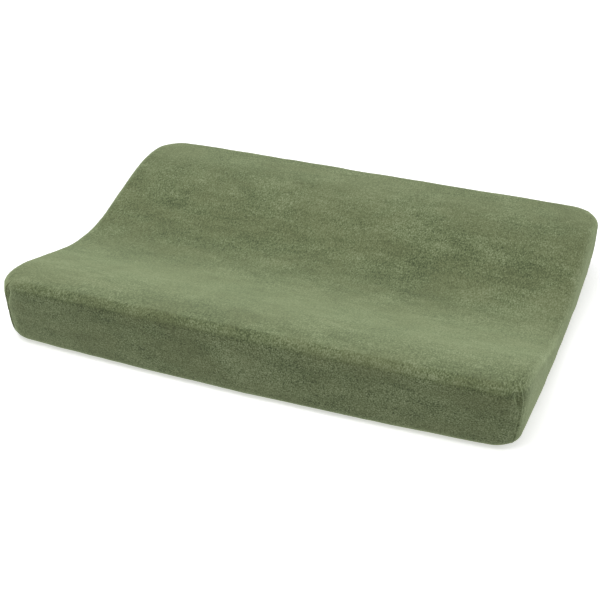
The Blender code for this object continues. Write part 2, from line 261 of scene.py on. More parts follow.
def relax_corners(points, faces, skin):
    """Evens out the thin faces in the four corners of the top grid."""
    around = np.concatenate([faces, np.roll(faces, 1, axis=1)])
    one, two = around[:, 0], around[:, 1]
    weight = np.zeros(len(points))
    for column in skin.plan.diagonals:
        away = np.linalg.norm(points - points[skin.plan.border[column]], axis=1)
        weight = np.maximum(weight, np.clip(1.5 - 1.5 * away / RELAX_REACH, 0, 1))
    near = weight[one] + weight[two] > 0
    one, two = one[near], two[near]
    number = np.bincount(one, minlength=len(points)) + np.bincount(two, minlength=len(points))
    for _ in range(RELAX_PASSES):
        total = np.zeros_like(points)
        np.add.at(total, one, points[two])
        np.add.at(total, two, points[one])
        mean = total / np.maximum(number, 1)[:, None]
        points = points + (mean - points) * (weight * (number > 0))[:, None] * 0.7
    return points


def noise_field(points, scale, seed, octaves=2):
    """Smooth noise between about -1 and 1 at each point, with features about 1 / scale across."""
    shift = Vector((seed * 7.31, seed * 3.17, seed * 5.93))
    values = [noise.fractal(Vector(p) * scale + shift, 0.6, 2.0, octaves) for p in points]
    return np.array(values)


def add_object(name, data):
    thing = bpy.data.objects.new(name, data)
    bpy.context.scene.collection.objects.link(thing)
    return thing


def mesh_object(name, points, faces, mat):
    """A smooth mesh piece of only the points that its faces use."""
    used, faces = np.unique(faces, return_inverse=True)
    mesh = bpy.data.meshes.new(name)
    mesh.from_pydata(points[used].tolist(), [], faces.reshape(-1, 4).tolist())
    mesh.materials.append(mat)
    mesh.shade_smooth()
    return add_object(name, mesh)


def stands_for(piece, body, slot, *node_names):
    """A piece that rides on a body in place of CAD nodes. Its slot is not used."""
    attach(piece, body)
    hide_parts(*node_names)


def ring_faces(one, two):
    """Faces between two closed rings of point numbers, or between two stacks of them."""
    return np.stack([one, two, np.roll(two, -1, -1), np.roll(one, -1, -1)], -1).reshape(-1, 4)


def tube_faces(lines):
    """Faces between neighbouring lines of point numbers, of which the last joins the first."""
    after = np.roll(lines, -1, 0)
    return np.stack([lines[:, :-1], lines[:, 1:], after[:, 1:], after[:, :-1]], -1).reshape(-1, 4)


def close_ends(thing):
    """Fills a piece's open ends and turns its faces outwards."""
    bm = bmesh.new()
    bm.from_mesh(thing.data)
    bmesh.ops.holes_fill(bm, edges=[e for e in bm.edges if e.is_boundary], sides=0)
    bmesh.ops.recalc_face_normals(bm, faces=bm.faces)
    bm.to_mesh(thing.data)
    bm.free()
    thing.data.shade_smooth()


def apply_modifiers(thing):
    bpy.context.view_layer.update()
    evaluated = thing.evaluated_get(bpy.context.evaluated_depsgraph_get())
    mesh = bpy.data.meshes.new_from_object(evaluated)
    thing.modifiers.clear()
    thing.data = mesh


def thicken(thing, thickness):
    """Cloth of that thickness, whose outer side stays where it is."""
    modifier = thing.modifiers.new("cloth", "SOLIDIFY")
    modifier.thickness = thickness
    modifier.offset = -1.0
    modifier.use_rim = True
    apply_modifiers(thing)
    thing.data.shade_smooth()


# ---- materials ----
class Finish:
    """A procedural material around one Principled shader, in the object's own coordinates."""

    def __init__(self, name, **sockets):
        self.mat = bpy.data.materials.new(name)
        self.mat.use_nodes = True
        self.tree = self.mat.node_tree
        self.shader = self.tree.nodes["Principled BSDF"]
        for label, value in sockets.items():
            self.shader.inputs[label.replace("_", " ")].default_value = value
        self.coords = self.tree.nodes.new("ShaderNodeTexCoord").outputs["Object"]

    def link(self, source, socket):
        self.tree.links.new(source, socket)

    def feed(self, socket, value):
        if isinstance(value, bpy.types.NodeSocket):
            self.link(value, socket)
        else:
            socket.default_value = value

    def stretched(self, scale, turn=(0.0, 0.0, 0.0)):
        node = self.tree.nodes.new("ShaderNodeMapping")
        node.inputs["Scale"].default_value = scale
        node.inputs["Rotation"].default_value = turn
        self.link(self.coords, node.inputs["Vector"])
        return node.outputs["Vector"]

    def upwards(self):
        """How far the surface faces up: 1 where it is level."""
        split = self.tree.nodes.new("ShaderNodeSeparateXYZ")
        self.link(self.tree.nodes.new("ShaderNodeNewGeometry").outputs["Normal"], split.inputs[0])
        return split.outputs["Z"]

    def texture(self, kind, vector, **sockets):
        node = self.tree.nodes.new("ShaderNodeTex" + kind)
        for label, value in sockets.items():
            node.inputs[label].default_value = value
        self.link(vector or self.coords, node.inputs["Vector"])
        return node

    def noise(self, scale, detail=2.0, roughness=0.5, distortion=0.0, vector=None):
        node = self.texture("Noise", vector, Scale=scale, Detail=detail, Roughness=roughness,
                            Distortion=distortion)
        return node.outputs["Fac"]

    def cells(self, scale, output="Distance", vector=None):
        return self.texture("Voronoi", vector, Scale=scale).outputs[output]

    def waves(self, scale, direction, distortion=0.0, vector=None):
        node = self.texture("Wave", vector, Scale=scale, Distortion=distortion)
        node.bands_direction = direction
        return node.outputs["Fac"]

    def sum(self, *terms):
        """Weighted sum of (source, weight) pairs."""
        total = None
        for source, weight in terms:
            node = self.tree.nodes.new("ShaderNodeMath")
            node.operation = "MULTIPLY_ADD"
            self.link(source, node.inputs[0])
            node.inputs[1].default_value = weight
            self.feed(node.inputs[2], 0.0 if total is None else total)
            total = node.outputs[0]
        return total

    def ramp(self, factor, stops):
        node = self.tree.nodes.new("ShaderNodeValToRGB")
        elements = node.color_ramp.elements
        while len(elements) < len(stops):
            elements.new(0.5)
        for element, (place, colour) in zip(elements, stops):
            element.position = place
            element.color = (*colour, 1.0) if isinstance(colour, tuple) else (colour, colour, colour, 1.0)
        self.link(factor, node.inputs["Fac"])
        return node.outputs["Color"]

    def blend(self, factor, a, b):
        node = self.tree.nodes.new("ShaderNodeMix")
        node.data_type = "RGBA"
        self.feed(node.inputs["Factor"], factor)
        for socket, value in ((node.inputs["A"], a), (node.inputs["B"], b)):
            self.feed(socket, (*value, 1.0) if isinstance(value, tuple) else value)
        return node.outputs["Result"]

    def colour(self, source):
        self.link(source, self.shader.inputs["Base Color"])

    def roughness(self, source):
        self.link(source, self.shader.inputs["Roughness"])

    def bump(self, height, distance, strength=1.0):
        node = self.tree.nodes.new("ShaderNodeBump")
        node.inputs["Distance"].default_value = distance
        node.inputs["Strength"].default_value = strength
        self.link(height, node.inputs["Height"])
        if self.shader.inputs["Normal"].is_linked:
            self.link(self.shader.inputs["Normal"].links[0].from_socket, node.inputs["Normal"])
        self.link(node.outputs["Normal"], self.shader.inputs["Normal"])


def velour():
    """Short raised nap: pale where it catches the light, with brushed patches, a fine grain, and painted
    light and shade over the top edges.
    """
    f = Finish("velour", Roughness=0.95, Specular_IOR_Level=0.10, Sheen_Weight=0.72, Sheen_Roughness=0.55,
               Sheen_Tint=(0.80, 0.95, 0.57, 1.0))
    lengthwise = f.stretched((0.7, 1.2, 1.2))
    broad = f.noise(6.0, 2.0, 0.5, 0.3, lengthwise)
    brushed = f.noise(22.0, 4.0, 0.60, 0.6, lengthwise)
    streaks = f.noise(60.0, 3.0, 0.6, 0.4, f.stretched((0.35, 1.3, 1.3)))
    clumps = f.noise(230.0, 2.0, 0.6)
    # the nap is combed from front to back, so its tufts are longer that way
    combed = f.stretched((1.0, 0.5, 1.0))
    grain = f.noise(560.0, 1.0, 0.7, 0.0, combed)
    tufts = f.cells(560.0, vector=combed)
    tint = f.cells(560.0, output="Color", vector=combed)
    fibres = f.noise(1000.0, 2.0, 0.8, 0.0, combed)
    # where the nap lies level it is brushed flat, and its grain shows less
    level = f.ramp(f.upwards(), [(0.0, 0.0), (0.35, 0.34), (1.0, 0.26)])
    nap = f.sum((clumps, 0.08), (grain, 0.80), (tufts, -0.50), (tint, 0.16), (fibres, 0.42))
    fine = f.blend(level, nap, (0.5, 0.5, 0.5))
    # painted light and shade over the top edges: the colour is paler where the surface turns over from the
    # top and darker just below, where it hangs down
    turned = f.ramp(f.upwards(), [(0.0, 0.5), (0.06, 0.15), (0.30, 0.15), (0.46, 0.85), (0.80, 0.80),
                                  (0.94, 0.5)])
    # the tone takes in the painted edge light and shade
    tone = f.sum((broad, 0.09), (brushed, 0.20), (streaks, 0.13), (fine, 0.48), (turned, 0.07))
    shade = f.ramp(tone, [(0.325, (0.012, 0.018, 0.006)), (0.485, (0.126, 0.157, 0.071)),
                          (0.645, (0.315, 0.355, 0.215))])
    hue = f.ramp(f.noise(14.0, 4.0, 0.6, 0.4, lengthwise), [(0.42, 0.0), (0.58, 1.0)])
    olive = f.blend(0.30, shade, (0.128, 0.136, 0.062))
    f.colour(f.blend(hue, shade, olive))
    f.bump(f.sum((clumps, 0.2), (grain, 0.9), (fibres, 0.3)), 0.4 * MM, 0.7)
    return f.mat


# ---- the fitted cover ----
COVER_FLOOR = 0.4 * MM
FLAP_LEVEL = 0.9 * MM
FLAP_ROWS = 12
FLAP_TUCK = 10.5 * MM       # the flap's edge ends this far outside the opening, inside the hem casing

# the tuck beside each dart's upper end
TUCK_TOP = 86 * MM
TUCK_LENGTH = 26 * MM
TUCK_DEPTH = 3.2 * MM


def seam_offsets(plan, ring, shift=0.0):
    """Each column's signed distance along a ring from its nearest corner seam, end side positive."""
    step = np.linalg.norm(np.roll(ring, -1, 0) - ring, axis=1)
    along = np.concatenate([[0.0], np.cumsum(step)[:-1]])
    length = step.sum()
    best = np.full(len(ring), 1e9)
    for number, column in enumerate(plan.diagonals):
        away = (along - along[column] - shift + length / 2) % length - length / 2
        # going round from the front left corner, the end panel follows the second and the fourth dart
        away = away if number in (1, 3) else -away
        best = np.where(np.abs(away) < np.abs(best), away, best)
    return best


def dart_relief(offset, height, weight):
    """The sunk seam line of a corner dart, the soft lips beside it, and the puckers that it draws up."""
    line = -1.0 * MM * np.exp(-(offset / (0.9 * MM)) ** 2)
    lips = 0.25 * MM * np.exp(-((offset + 3.0 * MM) / (1.9 * MM)) ** 2)
    lips += 1.0 * MM * np.exp(-((offset - 2.4 * MM) / (1.3 * MM)) ** 2)
    lips -= 0.45 * MM * np.exp(-((offset - 5.6 * MM) / (1.7 * MM)) ** 2)
    step = 0.35 * MM * np.tanh(offset / (2.0 * MM)) * np.exp(-(offset / (7.0 * MM)) ** 2)
    wobble = np.sin(height / (2.1 * MM)) * 0.6 + np.sin(height / (1.3 * MM) + 1.3) * 0.4
    beside = np.exp(-np.abs(offset) / (6.0 * MM)) * np.clip(np.abs(offset) / MM - 0.6, 0, 1)
    pucker = 0.28 * MM * wobble * beside
    return (line + lips + step + pucker) * weight


SIM_FRAMES = 26
SIM_FIRST_ROW = EDGE_ROWS + 1
SIM_CUT = 0.18              # how much longer the cloth is cut at the hem than the opening is round
SIM_CAP = 3.0 * MM
SIM_AVERAGE = 70 * MM


def settle_skirt(points, skin):
    """Cloth simulation of the sides and the flap. The cloth is cut longer than the opening that its elastic
    draws it to, so it buckles into gathers. Gives how far each point of those rows moves."""
    size = len(skin.plan.border)
    rows = range(SIM_FIRST_ROW, len(skin.rows) + 1)
    ids = np.concatenate([skin.column(row) for row in rows])
    local = np.arange(len(ids)).reshape(len(rows), size)
    start = points[ids]
    cloth = mesh_object("skirt_cloth", start, ring_faces(local[:-1], local[1:]), None)
    held = cloth.vertex_groups.new(name="held")
    held.add(np.concatenate([local[:2].ravel(), local[-2:].ravel()]).tolist(), 1.0, "REPLACE")
    long_cut = cloth.vertex_groups.new(name="long_cut")
    for number in range(len(rows)):
        share = number / (len(rows) - 1)
        long_cut.add(local[number].tolist(), share ** 1.5, "REPLACE")
    modifier = cloth.modifiers.new("cloth", "CLOTH")
    settings = modifier.settings
    settings.quality = 5
    settings.mass = 0.002
    settings.tension_stiffness = settings.compression_stiffness = 12.0
    settings.shear_stiffness = 6.0
    settings.bending_stiffness = 0.01
    settings.air_damping = 4.0
    settings.vertex_group_mass = "held"
    settings.vertex_group_shrink = "long_cut"
    settings.shrink_min = 0.0
    settings.shrink_max = -SIM_CUT
    settings.effector_weights.gravity = 0.0
    modifier.point_cache.frame_start = 1
    modifier.point_cache.frame_end = SIM_FRAMES
    for frame_number in range(1, SIM_FRAMES + 1):
        bpy.context.scene.frame_set(frame_number)
    evaluated = cloth.evaluated_get(bpy.context.evaluated_depsgraph_get())
    settled = np.array([v.co for v in evaluated.data.vertices])
    bpy.context.scene.frame_set(1)
    bpy.data.objects.remove(cloth)
    moved = (settled - start).reshape(len(rows), size, 3)
    step = np.linalg.norm(np.roll(start[:size], -1, 0) - start[:size], axis=1)
    along = np.concatenate([[0.0], np.cumsum(step)])
    # only the gathers are kept, not how far a whole side moves
    moved -= moving_average(moved, along, SIM_AVERAGE)
    length = np.linalg.norm(moved, axis=2, keepdims=True)
    moved *= np.minimum(1.0, SIM_CAP / np.maximum(length, 1e-9))
    result = np.zeros_like(points)
    result[ids] = moved.reshape(-1, 3)
    return result


def resampled(places, along, path):
    """Points at some distances along a path, whose own points lie at the distances along."""
    return np.column_stack([np.interp(places, along, path[:, k]) for k in range(3)])


def moving_average(rows, along, width):
    """Rows of values round a closed ring, averaged over a width along it."""
    total = along[-1]
    weight = np.diff(along)
    summed = np.cumsum(np.concatenate([np.zeros_like(rows[:, :1]), rows * weight[:, None]], axis=1), axis=1)
    whole = summed[:, -1]

    def up_to(place):
        turns, rest = np.divmod(place, total)
        found = np.stack([resampled(rest, along, line) for line in summed])
        return found + turns[None, :, None] * whole[:, None]

    return (up_to(along[:-1] + width / 2) - up_to(along[:-1] - width / 2)) / width


def build_cover(plan):
    skin = Skin(plan, 0.0, floor=COVER_FLOOR)
    tuck_x, tuck_y = HEM_X - HEM_WIDTH + FLAP_TUCK, HEM_Y - HEM_WIDTH + FLAP_TUCK
    skin.ring_to(tuck_x, tuck_y, HEM_CORNER - HEM_WIDTH + FLAP_TUCK, FLAP_LEVEL, FLAP_ROWS)
    points = skin.points()
    faces = skin.faces()
    normals = normals_of(points, faces)
    move = -skin.rounding()
    # the cloth isn't quite even over the foam
    move += 0.55 * MM * noise_field(points, 9.0, 1) + 0.25 * MM * noise_field(points, 30.0, 2)

    total_rows = len(skin.rows)
    for row in range(1, total_rows + 1):
        ids = skin.column(row)
        lean = DART_LEAN * min(max(row - EDGE_ROWS - 5, 0) / (WALL_ROWS - 4), 1.2) ** 1.5
        offset = seam_offsets(plan, skin.rows[EDGE_ROWS - 1], DART_SHIFT - lean)
        height = points[ids, 2]
        rise = np.clip((row - 2) / (EDGE_ROWS - 3), 0, 1)
        fade = 1 - 0.8 * np.clip((row - EDGE_ROWS - WALL_ROWS + 2) / 5, 0, 1)
        move[ids] += dart_relief(offset, height + row * 0.9 * MM, rise * fade)
        # the tuck beside the dart's end, which narrows downwards
        down = np.clip((TUCK_TOP - height) / TUCK_LENGTH, 0, 1)
        wide = (3.8 - 2.4 * down) * MM
        tuck = np.exp(-((offset + 1.5 * wide) / wide) ** 2) * np.sin(math.pi * down ** 0.6)
        move[ids] -= TUCK_DEPTH * tuck
        # the top edges waver a little
        if row <= EDGE_ROWS + 2:
            edge_share = math.sin(math.pi * row / (EDGE_ROWS + 3))
            move[ids] += 0.55 * MM * edge_share * noise_field(points[ids], 22.0, 3)
        # gathers, which grow towards the elastic
        if row > EDGE_ROWS + WALL_ROWS - 4:
            near = (row - EDGE_ROWS - WALL_ROWS + 4) / (total_rows - EDGE_ROWS - WALL_ROWS + 4)
            gather = noise_field(points[ids] * np.array((1, 1, 0.2)), 42.0, 4)
            under = row > skin.bottom_row
            move[ids] += gather * near * (0.45 * MM if under else 0.9 * MM)
    points = relax_corners(points + normals * move[:, None], faces, skin)
    points = points + settle_skirt(points, skin)
    under = points[:, 2] < COVER_FLOOR
    points[under, 2] = COVER_FLOOR
    cover = mesh_object("cover", points, faces, velour())
    thicken(cover, COVER_THICK)
    stands_for(cover, "fitted_cover", "velour", "cover_shell", "cover_skirt")
    return cover


# ---- finishes of the inner pieces ----
def coated_knit():
    """Wipe-clean ticking: a thin, slightly glossy coating over a fine knit."""
    f = Finish("ticking", Roughness=0.42, Specular_IOR_Level=0.45, Sheen_Weight=0.15, Coat_Weight=0.12,
               Coat_Roughness=0.3)
    knit = f.waves(520.0, "X", 0.4)
    courses = f.waves(430.0, "Y", 0.4)
    fine = f.noise(900.0, 2.0, 0.6)
    wear = f.noise(14.0, 4.0, 0.6, 0.4)
    shade = f.sum((wear, 0.6), (fine, 0.4))
    f.colour(f.ramp(shade, [(0.3, (0.70, 0.70, 0.67)), (0.7, (0.83, 0.83, 0.81))]))
    f.roughness(f.ramp(wear, [(0.3, 0.36), (0.7, 0.52)]))
    f.bump(f.sum((knit, 0.5), (courses, 0.5), (fine, 0.6)), 0.15 * MM, 0.6)
    f.bump(f.noise(70.0, 3.0, 0.6, 0.5), 0.6 * MM, 0.35)
    return f.mat


def foam_finish():
    """Open-cell foam: pores of two sizes in a cream body, a little yellowed in patches."""
    f = Finish("foam", Roughness=0.95, Specular_IOR_Level=0.1)
    pores = f.cells(520.0)
    holes = f.cells(190.0)
    patches = f.noise(9.0, 3.0, 0.6)
    shade = f.sum((pores, 0.5), (holes, 0.3), (patches, 0.5))
    f.colour(f.ramp(shade, [(0.25, (0.52, 0.45, 0.28)), (0.45, (0.80, 0.74, 0.54)),
                            (0.8, (0.88, 0.84, 0.66))]))
    f.bump(f.sum((pores, 0.7), (holes, 0.5)), 0.8 * MM, 0.8)
    return f.mat


def woven(name, dark, light, pitch, slant=0.0):
    """A woven tape, with its threads along and across, or slanted as in a herringbone."""
    f = Finish(name, Roughness=0.8, Sheen_Weight=0.2, Sheen_Roughness=0.4)
    turned = f.stretched((1.0, 1.0, 1.0), (0.0, 0.0, slant))
    warp = f.waves(pitch, "X", 0.25, turned)
    weft = f.waves(pitch * 1.3, "Y", 0.25, turned)
    fuzz = f.noise(1600.0, 2.0, 0.7)
    weave = f.sum((warp, 0.45), (weft, 0.35), (fuzz, 0.3))
    f.colour(f.ramp(weave, [(0.2, dark), (0.8, light)]))
    f.bump(weave, 0.25 * MM, 0.7)
    return f.mat


def satin():
    """A blank satin label: floats along its length, and a soft streaky gloss."""
    f = Finish("label", Roughness=0.38, Sheen_Weight=0.3, Anisotropic=0.5)
    floats = f.noise(300.0, 3.0, 0.6, 0.0, f.stretched((8.0, 1.0, 1.0)))
    soil = f.noise(60.0, 3.0)
    tone = f.sum((floats, 0.6), (soil, 0.4))
    f.colour(f.ramp(tone, [(0.3, (0.72, 0.72, 0.69)), (0.7, (0.88, 0.88, 0.86))]))
    f.bump(floats, 0.08 * MM, 0.6)
    return f.mat


def nylon():
    f = Finish("zip_coil", Roughness=0.32)
    tone = f.noise(240.0, 3.0, 0.6)
    f.colour(f.ramp(tone, [(0.3, (0.74, 0.74, 0.71)), (0.7, (0.86, 0.86, 0.84))]))
    f.roughness(f.ramp(tone, [(0.3, 0.26), (0.7, 0.42)]))
    f.bump(f.noise(1500.0, 2.0), 0.05 * MM, 0.4)
    return f.mat


def nickel():
    """Tumbled nickel plate: fine scratches, and duller where hands and the chain rub it."""
    f = Finish("nickel", Metallic=1.0)
    scratches = f.noise(800.0, 3.0, 0.7, 0.0, f.stretched((0.25, 3.0, 1.0)))
    rubbed = f.noise(160.0, 4.0, 0.6, 0.3)
    tone = f.sum((scratches, 0.4), (rubbed, 0.6))
    f.colour(f.ramp(tone, [(0.3, (0.46, 0.45, 0.43)), (0.7, (0.64, 0.63, 0.60))]))
    f.roughness(f.ramp(f.sum((scratches, 0.5), (rubbed, 0.5)), [(0.3, 0.20), (0.7, 0.40)]))
    f.bump(f.sum((scratches, 0.6), (rubbed, 0.6)), 0.06 * MM, 0.5)
    return f.mat


def thread(colour):
    f = Finish("green_thread", Roughness=0.6, Sheen_Weight=0.4)
    ply = f.waves(1800.0, "DIAGONAL", 0.5)
    dark = tuple(c * 0.62 for c in colour)
    f.colour(f.ramp(f.sum((ply, 0.7), (f.noise(900.0), 0.3)), [(0.2, dark), (0.8, colour)]))
    f.bump(ply, 0.08 * MM, 0.6)
    return f.mat


# ---- foam and ticking ----
PAD_CORNER_EXTRA = 11 * MM  # the cushion's corners are rounder than the cover's
PAD_FLOOR = 0.3 * MM
BASE_LEVEL = 0.2 * MM
OPENING_X = HEM_X - HEM_WIDTH
OPENING_Y = HEM_Y - HEM_WIDTH
OPENING_CORNER = HEM_CORNER - HEM_WIDTH
STEP_FROM = 1.0 * MM        # the base's rounded shoulder, inwards from the opening
STEP_TO = 5.0 * MM
RECESS = (272.6 * MM, 22 * MM, 8 * MM)
STRIP_LEVEL = 5.3 * MM
FOAM_ROOF = 9.2 * MM        # the foam over the zip
FOAM_LIFT = 1.4 * MM
SLOT = (257.8 * MM, 6.0 * MM, 2 * MM)


def add_base(skin, lift=0.0):
    """Rows under the pad: out to the opening, down its shoulder, over the base and into the zip's recess."""
    flap_level = PAD_FLOOR + skin.inset
    skin.ring_to(OPENING_X - STEP_FROM, OPENING_Y - STEP_FROM, OPENING_CORNER - STEP_FROM, flap_level, 8)
    middle = (STEP_FROM + STEP_TO) / 2
    skin.ring_to(OPENING_X - middle, OPENING_Y - middle, OPENING_CORNER - middle,
                 (flap_level + BASE_LEVEL + lift) / 2, 2)
    skin.ring_to(OPENING_X - STEP_TO, OPENING_Y - STEP_TO, OPENING_CORNER - STEP_TO, BASE_LEVEL + lift, 2)
    skin.ring_to(*RECESS, BASE_LEVEL + lift, 24)
    x, y, corner = RECESS
    skin.ring_to(x - 1.2 * MM, y - 1.2 * MM, corner - 1.2 * MM, STRIP_LEVEL + lift, 3)


def column_lengths(points, skin):
    """Distance down each column from the top grid's border, at every row."""
    lines = np.stack([points[skin.column(r)] for r in range(len(skin.rows) + 1)])
    step = np.linalg.norm(np.diff(lines, axis=0), axis=2)
    return np.concatenate([np.zeros((1, lines.shape[1])), np.cumsum(step, axis=0)])


def seam_distance(skin, points):
    """How far each point of the ticking is from its nearest seam."""
    plan = skin.plan
    away = np.full(len(points), 1.0)
    grid_x = np.abs(plan.grid[:, 0])
    away[:len(plan.grid)] = plan.half[0] - grid_x
    down = column_lengths(points, skin)
    offset = np.abs(seam_offsets(plan, skin.rows[EDGE_ROWS - 1]))
    _, b, c, d = plan.diagonals
    is_end = np.zeros(len(plan.border), bool)
    is_end[b:c + 1] = True
    is_end[d:] = True
    is_end[0] = True
    bottom = down[skin.bottom_row]
    for row in range(1, len(skin.rows) + 1):
        near = np.abs(down[row] - bottom)
        if row <= skin.bottom_row:
            near = np.minimum(near, offset)
        near = np.where(is_end, np.minimum(near, down[row]), near)
        away[skin.column(row)] = near
    return away


def seam_relief(away, points, depth, seed):
    """A sunk seam with a soft roll beside it, and the puckers that its thread draws up."""
    line = -depth * np.exp(-(away / (1.5 * MM)) ** 2)
    roll = 0.45 * depth * np.exp(-((away - 4.2 * MM) / (2.4 * MM)) ** 2)
    pucker = 0.5 * depth * noise_field(points, 95.0, seed) * np.exp(-away / (7.0 * MM))
    return line + roll + pucker


def build_ticking(plan, mat):
    skin = Skin(plan, TICKING_INSET, PAD_CORNER_EXTRA, PAD_FLOOR)
    add_base(skin)
    skin.ring_to(*SLOT, STRIP_LEVEL, 4)
    x, y, corner = SLOT
    skin.ring_to(x - 0.2 * MM, y - 0.2 * MM, corner, STRIP_LEVEL + 0.6 * MM, 1)
    points = skin.points()
    faces = skin.faces()
    normals = normals_of(points, faces)
    move = seam_relief(seam_distance(skin, points), points, 1.5 * MM, 11) - skin.rounding()
    creases = noise_field(points * np.array((0.7, 1.3, 1.0)), 24.0, 12, 3)
    move += 0.45 * MM * creases + 0.5 * MM * noise_field(points, 8.0, 13)
    base = points[:, 2] < TICKING_INSET + PAD_FLOOR + 1.0 * MM
    move[base] *= 0.12
    points = relax_corners(points + normals * move[:, None], faces, skin)
    points[:, 2] = np.maximum(points[:, 2], 0.05 * MM)
    _, b, c, d = plan.diagonals
    middle = len(plan.ys) // 2
    right = b + middle
    left = d + len(plan.ys) - 1 - middle
    every = np.arange(len(plan.border))
    spans = {
        "front": every[:b], "right": every[b:c], "rear": every[c:d], "left": every[d:],
        "base_front": np.concatenate([every[left:], every[:right]]), "base_rear": every[right:left],
    }
    low = skin.bottom_row
    over, rear_side = skin.faces(True, 0, low, spans["front"]), skin.faces(False, 0, low, spans["rear"])
    left_end, right_end = (skin.faces(False, 0, low, spans[side]) for side in ("left", "right"))
    base_front = skin.faces(False, low, None, spans["base_front"])
    base_rear = skin.faces(False, low, None, spans["base_rear"])
    pieces = {
        "ticking_top": (np.concatenate([over, rear_side]), "ticking_wrap", (0.69, 0.68), None),
        "ticking_left": (left_end, "ticking_end_left", (0.50, 0.10), 0.040),
        "ticking_right": (right_end, "ticking_end_right", (0.50, 0.10), 0.040),
        "ticking_under_front": (base_front, "ticking_base_front", (0.68, 0.24), None),
        "ticking_under_rear": (base_rear, "ticking_base_rear", (0.68, 0.24), None),
    }
    for name, (quads, node_name, flat, area) in pieces.items():
        piece = mesh_object(name, points, quads, mat)
        thicken(piece, TICKING_THICK)
        stands_for(piece, "pad", "ticking", node_name)


def build_foam(plan, mat):
    skin = Skin(plan, FOAM_INSET, PAD_CORNER_EXTRA, PAD_FLOOR)
    add_base(skin, FOAM_LIFT)
    x, y, corner = RECESS
    skin.ring_to(x - 3 * MM, y - 3 * MM, corner - 3 * MM, FOAM_ROOF, 2)
    skin.ring_to(x - 6 * MM, 2 * MM, 1.5 * MM, FOAM_ROOF, 5)
    points = skin.points()
    faces = skin.faces()
    normals = normals_of(points, faces)
    move = 0.25 * MM * noise_field(points, 40.0, 21) - skin.rounding()
    points = relax_corners(points + normals * move[:, None], faces, skin)
    foam = mesh_object("foam_block", points, faces, mat)
    close_ends(foam)
    stands_for(foam, "pad", "foam", "foam_core")


# ---- zip ----
def strip_mesh(name, path, across, width, thickness, mat, cells):
    """A flat band along a path of points, whose width lies along one direction."""
    path = np.asarray(path, float)
    across = np.broadcast_to(across, path.shape)
    up = np.cross(np.gradient(path, axis=0), across)
    up = up / np.linalg.norm(up, axis=1, keepdims=True)
    shares = np.linspace(-0.5, 0.5, cells + 1)
    edge = 0.35 * np.minimum(thickness / width, 0.2)
    loop = [(s * (1 - (abs(s) == 0.5) * edge), 0.5) for s in shares]
    loop += [(-s * (1 - (abs(s) == 0.5) * edge), -0.5) for s in shares]
    points = np.concatenate([path + across * (a * width) + up * (b * thickness) for a, b in loop])
    lines = np.arange(len(points)).reshape(len(loop), len(path))
    piece = mesh_object(name, points, tube_faces(lines), mat)
    close_ends(piece)
    piece.data.set_sharp_from_angle(angle=math.radians(50))
    return piece


def build_tapes(mat):
    for word in ("front", "rear"):
        low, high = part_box(f"zip_tape_{word}")
        xs = np.linspace(low.x, high.x, 140)
        middle = (low.y + high.y) / 2
        path = np.column_stack([xs, np.full_like(xs, middle), np.full_like(xs, (low.z + high.z) / 2)])
        path[:, 2] += 0.05 * MM * np.sin(xs / (7 * MM))
        tape = strip_mesh(f"tape_{word}", path, (0.0, 1.0, 0.0), high.y - low.y, 0.45 * MM, mat, 10)
        stands_for(tape, "pad", "zip_tape", f"zip_tape_{word}")


def tube(name, path, radius, mat, sides=5):
    """A round thread or wire along a path of points."""
    path = np.asarray(path, float)
    ahead = np.gradient(path, axis=0)
    ahead /= np.linalg.norm(ahead, axis=1, keepdims=True)
    lead = np.tile((0.0, 0.0, 1.0), (len(path), 1))
    lead[np.abs(ahead[:, 2]) > 0.9] = (1.0, 0.0, 0.0)
    one = np.cross(ahead, lead)
    one /= np.linalg.norm(one, axis=1, keepdims=True)
    two = np.cross(ahead, one)
    angles = np.arange(sides) * 2 * math.pi / sides
    points = np.concatenate([path + radius * (math.cos(a) * one + math.sin(a) * two) for a in angles])
    lines = np.arange(len(points)).reshape(sides, len(path))
    piece = mesh_object(name, points, tube_faces(lines), mat)
    close_ends(piece)
    return piece


COIL_PITCH = 1.5 * MM
COIL_WIRE = 0.27 * MM
COIL_STEPS = 10


def build_coils(mat):
    """Each side's coil is one nylon wire wound into flattened loops, half a pitch out of step."""
    for side, word in ((-1, "front"), (1, "rear")):
        low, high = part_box(f"zip_coil_{word}")
        turns = int((high.x - low.x) / COIL_PITCH)
        turn = np.arange(turns * COIL_STEPS) / COIL_STEPS
        angle = turn * 2 * math.pi * side
        half_y = (high.y - low.y) / 2 - COIL_WIRE
        half_z = (high.z - low.z) / 2 - COIL_WIRE
        squared = np.sign(np.cos(angle)) * np.abs(np.cos(angle)) ** 0.7
        pitch = (high.x - low.x - 2 * COIL_WIRE) / (turns + 0.5)
        path = np.column_stack([
            low.x + COIL_WIRE + (turn + (0.5 if side > 0 else 0.0)) * pitch,
            (low.y + high.y) / 2 + half_y * squared,
            (low.z + high.z) / 2 + half_z * np.sin(angle),
        ])
        coil = tube(f"coil_{word}", path, COIL_WIRE, mat)
        stands_for(coil, "pad", "zip_coil", f"zip_coil_{word}")


